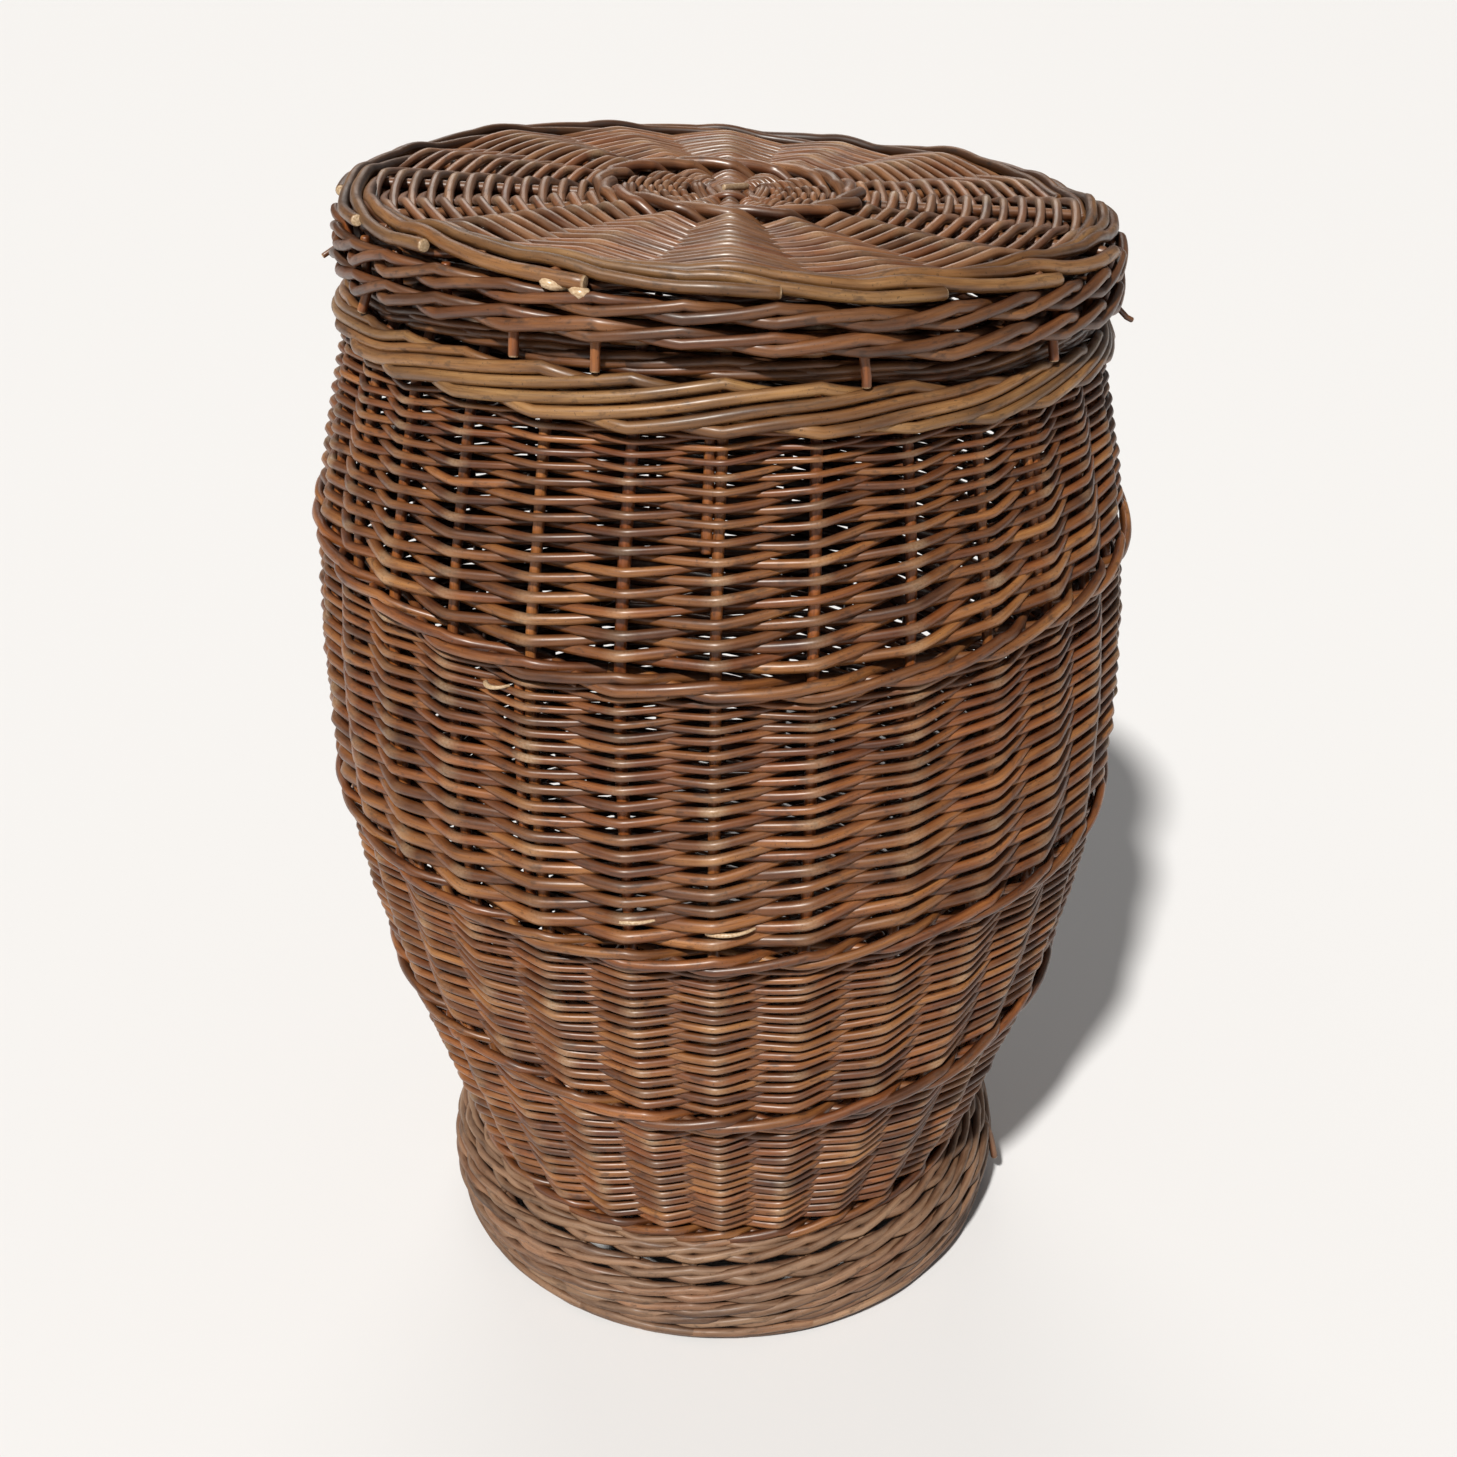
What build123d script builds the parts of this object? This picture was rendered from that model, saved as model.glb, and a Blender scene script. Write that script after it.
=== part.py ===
"""Barrel-shaped willow laundry hamper with a lift-off lid.

Millimetres, +Z up, origin at the centre of the foot's resting plane. The hamper is woven round
upright stakes, so each woven band is a ring of its own, pierced by the stakes that carry it.
"""

from build123d import *
import os
from math import cos, radians, sin, tan

import numpy as np

os.makedirs("parts", exist_ok=True)

# ---------------------------------------------------------------- driving dimensions
# Mid-surface of the barrel wall: the circle that the stakes stand on, from base to ledge.
WALL_HEIGHTS = (72, 206, 328, 485, 548, 600)
WALL_RADII = (158, 201.5, 224.5, 222.5, 211.5, 200)
WALL_HALF = 5.5  # half of the woven wall's thickness
WALE_PROUD = 2.5  # how far a band of heavy rods stands out of the wall

STAKE_COUNT = 30
STAKE_RADIUS = 3.2
ROD_RADIUS = 3.0  # heavy rods of the wales, borders and lid skirt

FOOT_BORDER_TOP = 8
BASE_UNDERSIDE = 64
BASE_TOP = 76
UPSETT_TOP = 80
LOWER_WALE = (200, 212)
MIDDLE_WALE = (322, 334)
UPPER_WALE = (479, 491)
LEDGE = (599, 614)
NECK_WEAVE_TOP = 642
NECK_TOP = 649.4

BASE_RADIUS = 150
UPSETT_RADII = (150, 167)
FOOT_WALL = 9
FOOT_STAKE_RADIUS = 2.6
FOOT_OUTLINE = ((177, 8), (183.5, 24), (185, 40), (179, 55), (168, 64))
FOOT_BORDER_RADII = (165, 178)

NECK_RADIUS = 188
NECK_HALF = 5
LEDGE_RADII = (184, 211)

LID_UNDERSIDE = 650
LID_TOP = 660
LID_RIM_TOP = 662
LID_RIM_RADII = (196, 209)
SKIRT_BOTTOM = 625
SKIRT_ROWS = 4
SKIRT_RADII = (198.5, 208.5)
LID_RING_RADII = (60, 72)
LID_RING_Z = (649, 662)

STICK_RADIUS = 2.5
STICK_PITCH = 7  # parallel sticks where the two sets of four cross
SPOKE_STEP = 22.5  # angle between neighbouring spokes, degrees
BASE_STICK_REACH = 147
LID_STICK_REACH = 204
SKIRT_STAKE_COUNT = 32
SKIRT_STAKE_RADIUS = 2.2
SKIRT_STAKE_Z = (619, 656)

wall_mid = np.polynomial.Polynomial.fit(WALL_HEIGHTS, WALL_RADII, len(WALL_HEIGHTS) - 1)


# ---------------------------------------------------------------- helpers
def save(part, name):
    """Label one finished piece and write it as its own file."""
    part.label = name
    export_step(part, f"parts/{name}.step")


def wall_points(low, high, offset, count=5):
    """Points up the barrel wall between two heights, moved outwards by offset."""
    return [(float(wall_mid(z)) + offset, z) for z in np.linspace(low, high, count)]


def woven_ring(name, outer, inner):
    """One woven band: the ring between an outer and an inner line, both drawn upwards."""
    with BuildPart() as ring:
        with BuildSketch(Plane.XZ):
            with BuildLine():
                outside = Spline(*outer)
                inside = Spline(*inner)
                Line(outside @ 0, inside @ 0)
                Line(outside @ 1, inside @ 1)
            make_face()
        revolve(axis=Axis.Z)
    save(ring.part, name)


def wale_ring(name, outer_bottom, outer_top, inner_radius, rows):
    """A band of heavy rods: one round ridge per row outside, a plain face inside."""
    (low_radius, low), (high_radius, high) = outer_bottom, outer_top
    with BuildPart() as ring:
        with BuildSketch(Plane.XZ):
            with BuildLine():
                start = Vector(low_radius, low)
                step = (Vector(high_radius, high) - start) * (1 / rows)
                for row in range(rows):
                    foot = start + step * row
                    crown = foot + step * 0.5 + Vector(WALE_PROUD, 0)
                    ThreePointArc(foot, crown, foot + step)
                Polyline((high_radius, high), (inner_radius, high), (inner_radius, low),
                         (low_radius, low))
            make_face()
        revolve(axis=Axis.Z)
    save(ring.part, name)


def flat_disc(name, radius, low, high, edge_round):
    """A woven disc with its edges rounded over."""
    with BuildPart() as disc:
        with Locations((0, 0, low)):
            Cylinder(radius, high - low, align=(Align.CENTER, Align.CENTER, Align.MIN))
        fillet(disc.edges().filter_by(GeomType.CIRCLE), edge_round)
    save(disc.part, name)


def stick_set(name, height, reach, turned):
    """Four sticks side by side over the middle, each bent so that its ends point outwards."""
    with BuildPart() as sticks:
        for row, angle in ((1, 0.5 * SPOKE_STEP), (3, 1.5 * SPOKE_STEP)):
            side = 0.5 * row * STICK_PITCH
            bend = side / tan(radians(angle))
            end_x, end_y = reach * cos(radians(angle)), reach * sin(radians(angle))
            for sign in (1, -1):
                points = [(-end_x, sign * end_y), (-bend, sign * side),
                          (bend, sign * side), (end_x, sign * end_y)]
                with BuildLine(Plane.XY.offset(height).rotated((0, 0, turned))) as run:
                    FilletPolyline(*points, radius=2.4 * STICK_PITCH)
                with BuildSketch(Plane(run.line @ 0, z_dir=run.line % 0)):
                    Circle(STICK_RADIUS)
                sweep(path=run.wires()[0])
    save(sticks.part, name)


def stake_ring(name, points, radius, count, start_angle=0):
    """Equal upright rods round the axis, each bent along the same line of points."""
    with BuildPart() as stake:
        with BuildLine(Plane.XZ) as run:
            Spline(*points)
        with BuildSketch(Plane(run.line @ 0, z_dir=run.line % 0)):
            Circle(radius)
        sweep(path=run.wires()[0])
    with BuildPart() as ring:
        with PolarLocations(0, count, start_angle=start_angle):
            add(stake.part)
    save(ring.part, name)


# ---------------------------------------------------------------- foot
with BuildPart() as foot_border:
    with BuildSketch(Plane.XZ):
        with BuildLine():
            inner_radius, outer_radius = FOOT_BORDER_RADII
            Line((inner_radius + 1.5, 0), (outer_radius - 2.5, 0))
            bulge = ThreePointArc((outer_radius - 2.5, 0), (outer_radius, 0.5 * FOOT_BORDER_TOP),
                                  (outer_radius - 2.5, FOOT_BORDER_TOP))
            Line(bulge @ 1, (inner_radius + 1.5, FOOT_BORDER_TOP))
            ThreePointArc((inner_radius + 1.5, FOOT_BORDER_TOP),
                          (inner_radius, 0.5 * FOOT_BORDER_TOP), (inner_radius + 1.5, 0))
        make_face()
    revolve(axis=Axis.Z)
save(foot_border.part, "foot_border")

woven_ring("foot_weave", FOOT_OUTLINE, [(radius - FOOT_WALL, z) for radius, z in FOOT_OUTLINE])
foot_stake_line = [(FOOT_BORDER_RADII[0] + 6.5, 3)]
foot_stake_line += [(radius - 0.5 * FOOT_WALL, z) for radius, z in FOOT_OUTLINE[1:]]
stake_ring("foot_stakes", foot_stake_line, FOOT_STAKE_RADIUS, STAKE_COUNT, start_angle=6)

# ---------------------------------------------------------------- base
base_mid = 0.5 * (BASE_UNDERSIDE + 2 + BASE_TOP)
stick_set("base_sticks_lower", base_mid - STICK_RADIUS, BASE_STICK_REACH, 0)
stick_set("base_sticks_upper", base_mid + STICK_RADIUS, BASE_STICK_REACH, 90)
flat_disc("base_weave", BASE_RADIUS, BASE_UNDERSIDE + 2, BASE_TOP, 2)
wale_ring("upsett_wale", (UPSETT_RADII[1] - WALE_PROUD, BASE_UNDERSIDE),
          (UPSETT_RADII[1] - WALE_PROUD, UPSETT_TOP), UPSETT_RADII[0], 3)

# ---------------------------------------------------------------- barrel wall
bands = {
    "body_weave_1": (UPSETT_TOP, LOWER_WALE[0]),
    "body_weave_2": (LOWER_WALE[1], MIDDLE_WALE[0]),
    "body_weave_3": (MIDDLE_WALE[1], UPPER_WALE[0]),
    "body_weave_4": (UPPER_WALE[1], LEDGE[0]),
}
for band, (low, high) in bands.items():
    woven_ring(band, wall_points(low, high, WALL_HALF), wall_points(low, high, -WALL_HALF))

wales = {"lower_wale": LOWER_WALE, "middle_wale": MIDDLE_WALE, "upper_wale": UPPER_WALE}
for wale, (low, high) in wales.items():
    inner = min(float(wall_mid(low)), float(wall_mid(high))) - WALL_HALF
    wale_ring(wale, wall_points(low, high, WALL_HALF, 2)[0],
              wall_points(low, high, WALL_HALF, 2)[1], inner, 2)

wale_ring("ledge_wale", (LEDGE_RADII[1] - WALE_PROUD, LEDGE[0]),
          (LEDGE_RADII[1] - WALE_PROUD, LEDGE[1]), LEDGE_RADII[0], 3)

stake_line = wall_points(BASE_UNDERSIDE + 4, LEDGE[0] - 8, 0, 9)
stake_line += [(NECK_RADIUS + 8, LEDGE[0] + 5), (NECK_RADIUS + 2, LEDGE[1]),
               (NECK_RADIUS, LEDGE[1] + 12), (NECK_RADIUS, NECK_TOP - 3)]
stake_ring("body_stakes", stake_line, STAKE_RADIUS, STAKE_COUNT)

# ---------------------------------------------------------------- neck inside the lid
neck_outer, neck_inner = NECK_RADIUS + NECK_HALF, NECK_RADIUS - NECK_HALF
with BuildPart() as neck_weave:
    with BuildSketch(Plane.XZ):
        with Locations((NECK_RADIUS, 0.5 * (LEDGE[1] + NECK_WEAVE_TOP))):
            Rectangle(2 * NECK_HALF, NECK_WEAVE_TOP - LEDGE[1])
    revolve(axis=Axis.Z)
save(neck_weave.part, "neck_weave")

with BuildPart() as neck_border:
    with BuildSketch(Plane.XZ):
        with Locations((NECK_RADIUS, 0.5 * (NECK_WEAVE_TOP + NECK_TOP))):
            RectangleRounded(2 * NECK_HALF + 2, NECK_TOP - NECK_WEAVE_TOP, ROD_RADIUS)
    revolve(axis=Axis.Z)
save(neck_border.part, "neck_border")

# ---------------------------------------------------------------- lid
lid_mid = 0.5 * (LID_UNDERSIDE + LID_TOP)
stick_set("lid_sticks_lower", lid_mid - STICK_RADIUS, LID_STICK_REACH, 0.5 * SPOKE_STEP)
stick_set("lid_sticks_upper", lid_mid + STICK_RADIUS, LID_STICK_REACH, 90 + 0.5 * SPOKE_STEP)
flat_disc("lid_centre_weave", LID_RING_RADII[0], LID_UNDERSIDE, LID_TOP, 2)

with BuildPart() as lid_ring_wale:
    with BuildSketch(Plane.XZ):
        with Locations((0.5 * sum(LID_RING_RADII), 0.5 * sum(LID_RING_Z))):
            RectangleRounded(LID_RING_RADII[1] - LID_RING_RADII[0], LID_RING_Z[1] - LID_RING_Z[0],
                             ROD_RADIUS)
    revolve(axis=Axis.Z)
save(lid_ring_wale.part, "lid_ring_wale")

with BuildPart() as lid_weave:
    with BuildSketch(Plane.XZ):
        with Locations((0.5 * (LID_RING_RADII[1] + LID_RIM_RADII[0]), lid_mid)):
            Rectangle(LID_RIM_RADII[0] - LID_RING_RADII[1], LID_TOP - LID_UNDERSIDE)
    revolve(axis=Axis.Z)
save(lid_weave.part, "lid_weave")

with BuildPart() as lid_border:
    with BuildSketch(Plane.XZ):
        with Locations((0.5 * sum(LID_RIM_RADII), 0.5 * (LID_UNDERSIDE + LID_RIM_TOP))):
            RectangleRounded(LID_RIM_RADII[1] - LID_RIM_RADII[0], LID_RIM_TOP - LID_UNDERSIDE,
                             ROD_RADIUS)
    revolve(axis=Axis.Z)
save(lid_border.part, "lid_border")

wale_ring("lid_skirt_wale", (SKIRT_RADII[1] - WALE_PROUD, SKIRT_BOTTOM),
          (SKIRT_RADII[1] - WALE_PROUD, LID_UNDERSIDE), SKIRT_RADII[0], SKIRT_ROWS)

skirt_mid = 0.5 * sum(SKIRT_RADII)
with BuildPart() as lid_skirt_stakes:
    with BuildSketch(Plane.XY.offset(SKIRT_STAKE_Z[0])):
        with PolarLocations(skirt_mid, SKIRT_STAKE_COUNT, start_angle=0.25 * SPOKE_STEP):
            Circle(SKIRT_STAKE_RADIUS)
    extrude(amount=SKIRT_STAKE_Z[1] - SKIRT_STAKE_Z[0])
save(lid_skirt_stakes.part, "lid_skirt_stakes")
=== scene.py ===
"""Looks of the willow laundry hamper: every woven band is built from its own bent rods.

Each rod is a tube bent along a worked-out line: over, under and round the stakes. Levels and radii
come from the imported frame. Everything is in metres and radians, unless a name says otherwise.
"""

import math

import bpy
import numpy as np
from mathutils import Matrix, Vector


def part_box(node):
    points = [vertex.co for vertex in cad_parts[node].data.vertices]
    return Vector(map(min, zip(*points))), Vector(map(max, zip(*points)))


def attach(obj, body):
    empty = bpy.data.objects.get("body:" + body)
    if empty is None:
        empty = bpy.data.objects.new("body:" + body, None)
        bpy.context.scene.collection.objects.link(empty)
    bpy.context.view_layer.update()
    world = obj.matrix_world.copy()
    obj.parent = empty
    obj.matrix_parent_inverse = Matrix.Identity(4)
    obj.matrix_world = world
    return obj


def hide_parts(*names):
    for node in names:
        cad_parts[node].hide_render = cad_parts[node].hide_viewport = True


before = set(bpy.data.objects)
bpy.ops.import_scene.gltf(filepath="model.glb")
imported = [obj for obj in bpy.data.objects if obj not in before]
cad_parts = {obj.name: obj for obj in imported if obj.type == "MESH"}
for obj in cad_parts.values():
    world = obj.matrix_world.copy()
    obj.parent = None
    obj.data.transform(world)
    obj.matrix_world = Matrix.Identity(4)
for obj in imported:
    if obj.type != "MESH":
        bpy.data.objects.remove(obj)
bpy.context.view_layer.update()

TAU = 2 * math.pi
FRONT = -0.5 * math.pi  # angle of the stake that faces the camera
SEED = 442

# ------------------------------------------------------------ counts and rod sizes
STAKES = 30
SPOKES = 16
SKIRT_STAKES = 32
STAKE_STEP = TAU / STAKES
SPOKE_STEP = TAU / SPOKES

# radii of the rods; those of the randed weave follow from the spacing of its rows
STAKE_ROD = 0.0031
SPOKE_ROD = 0.0031
WALE_ROD = 0.0029
LEDGE_ROD = 0.0030
NECK_BORDER_ROD = 0.0021
SHOULDER_ROD = 0.0024
FOOT_ROD = 0.0031
FOOT_STAKE_ROD = 0.0024
FOOT_BORDER_ROD = 0.0028
BASE_ROD = 0.0021
LID_CROSS_ROD = 0.0020
LID_CENTRE_ROD = 0.0022
LID_RING_ROD = 0.0035
BORDER_ROD = 0.0034
SKIRT_ROD = 0.0030
SKIRT_STAKE_ROD = 0.0025
TWIG_ROD = 0.0015


# ------------------------------------------------------------ sizes read from the frame
def span(node):
    """Lowest and highest level of a CAD node."""
    low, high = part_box(node)
    return low.z, high.z


def rim_radius(node, level, reach=0.0015):
    """Largest radius of a CAD node within reach of one level."""
    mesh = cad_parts[node].data
    corner = np.empty(3 * len(mesh.vertices))
    mesh.vertices.foreach_get("co", corner)
    corner = corner.reshape(-1, 3)
    near = np.abs(corner[:, 2] - level) < reach
    return float(np.hypot(corner[near, 0], corner[near, 1]).max())


WEAVE_REACH = 0.0070  # from the middle of the weave to the outside of its rods
SECTIONS = ("body_weave_1", "body_weave_2", "body_weave_3", "body_weave_4")
bands = [span(section) for section in SECTIONS]
wall_levels = [level for band in bands for level in band]
wall_radii = [rim_radius(section, level) - WEAVE_REACH
              for section, band in zip(SECTIONS, bands) for level in band]
wall_mid = np.polynomial.Polynomial.fit(wall_levels, wall_radii, 5)  # radius at a level

base_low, base_high = span("base_weave")
upsett_low, upsett_high = span("upsett_wale")
ledge_low, ledge_high = span("ledge_wale")
neck_low, neck_high = span("neck_weave")
neck_top = span("neck_border")[1]
neck_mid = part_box("neck_weave")[1].x - 0.005
ledge_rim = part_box("ledge_wale")[1].x
skirt_low, skirt_high = span("lid_skirt_wale")
skirt_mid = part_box("lid_skirt_wale")[1].x - 0.0055
lid_low, lid_high = span("lid_weave")
lid_mid = 0.5 * (lid_low + lid_high) + 0.002
lid_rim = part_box("lid_border")[1].x
ring_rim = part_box("lid_ring_wale")[1].x
foot_low, foot_high = span("foot_weave")
foot_border_top = span("foot_border")[1]

# the foot's radius at a level, carried on a little way in under the barrel
FOOT_HALF = 0.0078  # from the middle of the foot's weave to the outside of its rods
FOOT_TUCK = 0.006
foot_levels = np.linspace(foot_low, foot_high, 7)
foot_radii = [rim_radius("foot_weave", level, 0.004) - FOOT_HALF for level in foot_levels]
foot_levels = np.append(foot_levels, foot_high + FOOT_TUCK)
foot_radii.append(foot_radii[-1] - FOOT_TUCK)
foot_curve = np.polynomial.Polynomial.fit(foot_levels, foot_radii, 4)
# levels that are evenly spaced along the foot's slant, against the true levels
foot_rise = np.linspace(foot_low, foot_levels[-1], 60)
slant_steps = np.hypot(np.diff(foot_rise), np.diff(foot_curve(foot_rise)))
foot_run = np.concatenate(((0.0,), np.cumsum(slant_steps)))
foot_even = foot_low + (foot_rise[-1] - foot_low) * foot_run / foot_run[-1]


# ------------------------------------------------------------ the hand-made shape
# at each of these levels: slope to the side, how far the sides rise while the front and back
# sink, and slope towards the back
SLUMP_LEVELS = (0.0, upsett_high, bands[1][0], bands[2][0], bands[3][0], ledge_low,
                ledge_high + 0.012, lid_low)
SLUMP_TILT = (0.0, 0.010, -0.024, -0.010, -0.022, -0.043, -0.055, -0.050)
SLUMP_DROOP = (0.0, 0.0, 0.008, 0.005, 0.009, 0.001, -0.007, 0.0)
SLUMP_NOD = (0.0, 0.0, 0.0, 0.0, 0.0, 0.0, -0.006, -0.018)
DROOP_RADIUS = 0.2  # where the droop is full
# sideways shift of the whole ring at each of these levels
LEAN_LEVELS = (0.0, 0.5, ledge_low, lid_low)
LEAN = (0.0015, 0.0010, 0.0030, 0.0060)


def settle(path):
    """Moves points of the true shape to where the hand-woven, slightly slumped one has them.

    drift crowds the stakes unevenly, swell makes the rings a little out of round, and wave lets
    the rows run up and down. All three fade out towards the middle and the floor.
    """
    x, y, z = path[:, 0], path[:, 1], path[:, 2]
    radius = np.hypot(x, y)
    angle = np.arctan2(y, x)
    rise = np.clip(z / ledge_low, 0.0, 1.0)
    woven = np.clip((radius - 0.05) / 0.08, 0.0, 1.0) * np.clip(rise * 3.0, 0.0, 1.0)
    drift = 0.011 * np.sin(3 * angle + 1.0 + 4.0 * rise) + 0.007 * np.sin(7 * angle + 2.0)
    swell = 0.004 * np.sin(2 * angle + 0.8 + 3.0 * rise) + 0.003 * np.sin(5 * angle + 9.0 * rise)
    wave = 0.0011 * np.sin(3 * angle + 11.0 * z) + 0.0007 * np.sin(8 * angle + 31.0 * z)
    wave = wave + 0.0006 * np.sin(11 * angle + 95.0 * z + 1.5 * np.sin(5 * angle))
    angle = angle + woven * drift
    radius = radius * (1.0 + woven * swell)
    x = radius * np.cos(angle)
    y = radius * np.sin(angle)
    tilt = np.interp(z, SLUMP_LEVELS, SLUMP_TILT)
    nod = np.interp(z, SLUMP_LEVELS, SLUMP_NOD)
    droop = np.interp(z, SLUMP_LEVELS, SLUMP_DROOP) * np.clip(radius / DROOP_RADIUS, 0.0, 1.0)
    level = z + tilt * x + nod * y + droop * np.cos(2 * angle) + woven * wave
    return np.stack((x + np.interp(z, LEAN_LEVELS, LEAN), y, level), axis=1)


# ------------------------------------------------------------ surfaces that rods follow
def around(radius, angle, height):
    """Points at a radius, angle and height about the hamper's axis."""
    radius, angle, height = np.broadcast_arrays(radius, angle, height)
    return np.stack((radius * np.cos(angle), radius * np.sin(angle), height), axis=1)


def barrel(angle, height, off):
    """Points on the barrel wall, off outwards from the middle of its weave."""
    return around(wall_mid(height) + off, angle, height)


def ledge_slope(angle, height, off):
    """Points on the ledge band, whose upper rods lie further in."""
    return around(ledge_rim - 0.0065 - 0.45 * (height - ledge_low) + off, angle, height)


def shoulder(angle, height, off):
    """Points on the slope between the ledge and the neck."""
    return around(neck_mid + 0.0065 - 0.35 * (height - ledge_high) + off, angle, height)


def foot_wall(angle, height, off):
    """Points on the flared foot ring; heights are evened out along its slant."""
    height = np.interp(height, foot_even, foot_rise)
    return around(foot_curve(height) + off, angle, height)


def cylinder(radius_mid):
    """An upright round wall."""
    def surface(angle, height, off):
        return around(radius_mid + off, angle, height)
    return surface


def disc(level):
    """A flat round field: radius takes the place of height, and off is upwards."""
    def surface(angle, radius, off):
        return around(radius, angle, level + off)
    return surface


def outwards(path):
    """Unit vectors straight out from the axis."""
    out = path * np.array((1.0, 1.0, 0.0))
    return out / np.linalg.norm(out, axis=1, keepdims=True)


def upwards(path):
    """Unit vectors straight up."""
    return np.tile((0.0, 0.0, 1.0), (len(path), 1))


# ------------------------------------------------------------ rods
WAVER_STEP = 0.03  # a rod's thickness changes over about this length
WAVER = 0.025  # and by about this part
# the rounded end of a rod, in its own radii: how far it goes past the last ring, the radius of
# the cut face, and how far its centre stands out
END_LENGTH = 0.35
END_RADIUS = 0.8
END_DOME = 0.05
END_GRAIN = 0.001  # length that the rounded end takes up in the grain
MEAN_ROD = 0.0024  # radius whose girth sets the shape of the texture layer
STRIP_COVER = 0.8  # part of a strip's height that its rod takes up


class Bundle:
    """Round rods gathered into one mesh object.

    Each point carries two vectors for the material. grain is its place in the rod: length along,
    then how far it faces out and sideways. rod holds two random shades of the rod and how pale it
    is here: where bark is worn or cut away, and where a randed stroke crosses its stake also a
    painted highlight.
    """

    def __init__(self, name, sides=8):
        self.name = name
        self.sides = sides
        self.rng = np.random.default_rng([SEED, sum(map(ord, name))])
        self.points, self.grain, self.rod = [], [], []
        self.quads, self.tris, self.lengths = [], [], []
        self.count = 0

    def wander(self, along, step, size):
        """Smooth random wandering: size is its spread, step its length."""
        knots = np.arange(along.min(), along.max() + 2 * step, step)
        return np.interp(along, knots, self.rng.normal(0.0, size, len(knots)))

    def add(self, path, radius, facing=outwards, cut=(False, False), bare=0.0):
        """One rod along path.

        facing gives the outer side, cut says which ends show a pale cut face, and bare how far
        the bark is worn off; where a randed stroke crosses its stake this is partly a painted
        highlight.
        """
        path = settle(np.asarray(path, float))
        radius = np.broadcast_to(np.asarray(radius, float), len(path)).copy()
        step = np.linalg.norm(np.diff(path, axis=0), axis=1)
        along = np.concatenate(((0.0,), np.cumsum(step)))
        radius *= 1.0 + self.wander(along, WAVER_STEP, WAVER)
        tangent = np.gradient(path, axis=0)
        tangent /= np.linalg.norm(tangent, axis=1, keepdims=True)
        pale = np.full(len(path), bare)
        start_cap = path[0] - tangent[0] * END_LENGTH * radius[0]
        end_cap = path[-1] + tangent[-1] * END_LENGTH * radius[-1]
        path = np.vstack((start_cap, path, end_cap))
        tangent = np.vstack((tangent[0], tangent, tangent[-1]))
        radius = np.concatenate(((END_RADIUS * radius[0],), radius, (END_RADIUS * radius[-1],)))
        pale = np.concatenate(((float(cut[0]),), pale, (float(cut[1]),)))
        along = np.concatenate(((along[0] - END_GRAIN,), along, (along[-1] + END_GRAIN,)))
        out = facing(path)
        side_a = out - (out * tangent).sum(1, keepdims=True) * tangent
        side_a /= np.linalg.norm(side_a, axis=1, keepdims=True)
        side_b = np.cross(tangent, side_a)
        turn = TAU * np.arange(self.sides) / self.sides
        wheel = (np.cos(turn)[None, :, None] * side_a[:, None, :]
                 + np.sin(turn)[None, :, None] * side_b[:, None, :])
        rings = path[:, None, :] + radius[:, None, None] * wheel
        start = self.count
        total = len(path) * self.sides
        self.points.append(rings.reshape(-1, 3))
        self.points.append(np.stack((path[0] - tangent[0] * END_DOME * radius[0],
                                     path[-1] + tangent[-1] * END_DOME * radius[-1])))
        offset = self.rng.uniform(0.0, 40.0)
        grain = np.empty((len(path), self.sides, 3))
        grain[..., 0] = (along + offset)[:, None]
        grain[..., 1] = radius[:, None] * np.cos(turn)
        grain[..., 2] = radius[:, None] * np.sin(turn)
        self.grain.append(grain.reshape(-1, 3))
        self.grain.append(np.array(((along[0] + offset, 0.0, 0.0), (along[-1] + offset, 0.0, 0.0))))
        shade = self.rng.uniform(0.0, 1.0)
        colour = np.empty((total, 3))
        colour[:, 0] = shade
        colour[:, 1] = self.rng.uniform(0.0, 1.0)
        colour[:, 2] = np.repeat(pale, self.sides)
        self.rod.append(colour)
        self.rod.append(np.array(((shade, 0.5, pale[0]), (shade, 0.5, pale[-1]))))
        ring = np.arange(len(path) - 1)[:, None] * self.sides
        here = np.arange(self.sides)[None, :]
        ahead = (here + 1) % self.sides
        quad = np.stack((ring + here, ring + ahead, ring + self.sides + ahead,
                         ring + self.sides + here), axis=2)
        self.quads.append((start + quad).reshape(-1, 4))
        side = np.arange(self.sides)
        following = (side + 1) % self.sides
        last = total - self.sides
        self.tris.append(np.stack((start + following, start + side,
                                   np.full(self.sides, start + total)), axis=1))
        self.tris.append(np.stack((start + last + side, start + last + following,
                                   np.full(self.sides, start + total + 1)), axis=1))
        self.lengths.append(np.diff(along))
        self.count += total + 2

    def finish(self, material, body, nodes=()):
        """Makes the object, gives it its material and ties it to a body."""
        points = np.concatenate(self.points)
        quads = np.concatenate(self.quads)
        tris = np.concatenate(self.tris)
        mesh = bpy.data.meshes.new(self.name)
        mesh.vertices.add(len(points))
        mesh.vertices.foreach_set("co", points.ravel())
        corners = np.concatenate((quads.ravel(), tris.ravel()))
        starts = np.concatenate((np.arange(len(quads)) * 4,
                                 4 * len(quads) + np.arange(len(tris)) * 3))
        mesh.loops.add(len(corners))
        mesh.loops.foreach_set("vertex_index", corners.astype(np.int32))
        mesh.polygons.add(len(starts))
        mesh.polygons.foreach_set("loop_start", starts.astype(np.int32))
        flat = np.zeros(len(starts), bool)
        flat[len(quads):] = True
        mesh.update(calc_edges=True)
        mesh.shade_smooth()
        mesh.attributes.new("sharp_face", "BOOLEAN", "FACE").data.foreach_set("value", flat)
        self.unroll(mesh)
        for label, rows in (("grain", self.grain), ("rod", self.rod)):
            layer = mesh.attributes.new(label, "FLOAT_VECTOR", "POINT")
            layer.data.foreach_set("vector", np.concatenate(rows).ravel())
        mesh.materials.append(material)
        piece = bpy.data.objects.new(self.name, mesh)
        bpy.context.scene.collection.objects.link(piece)
        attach(piece, body)
        if nodes:
            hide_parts(*nodes)

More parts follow.
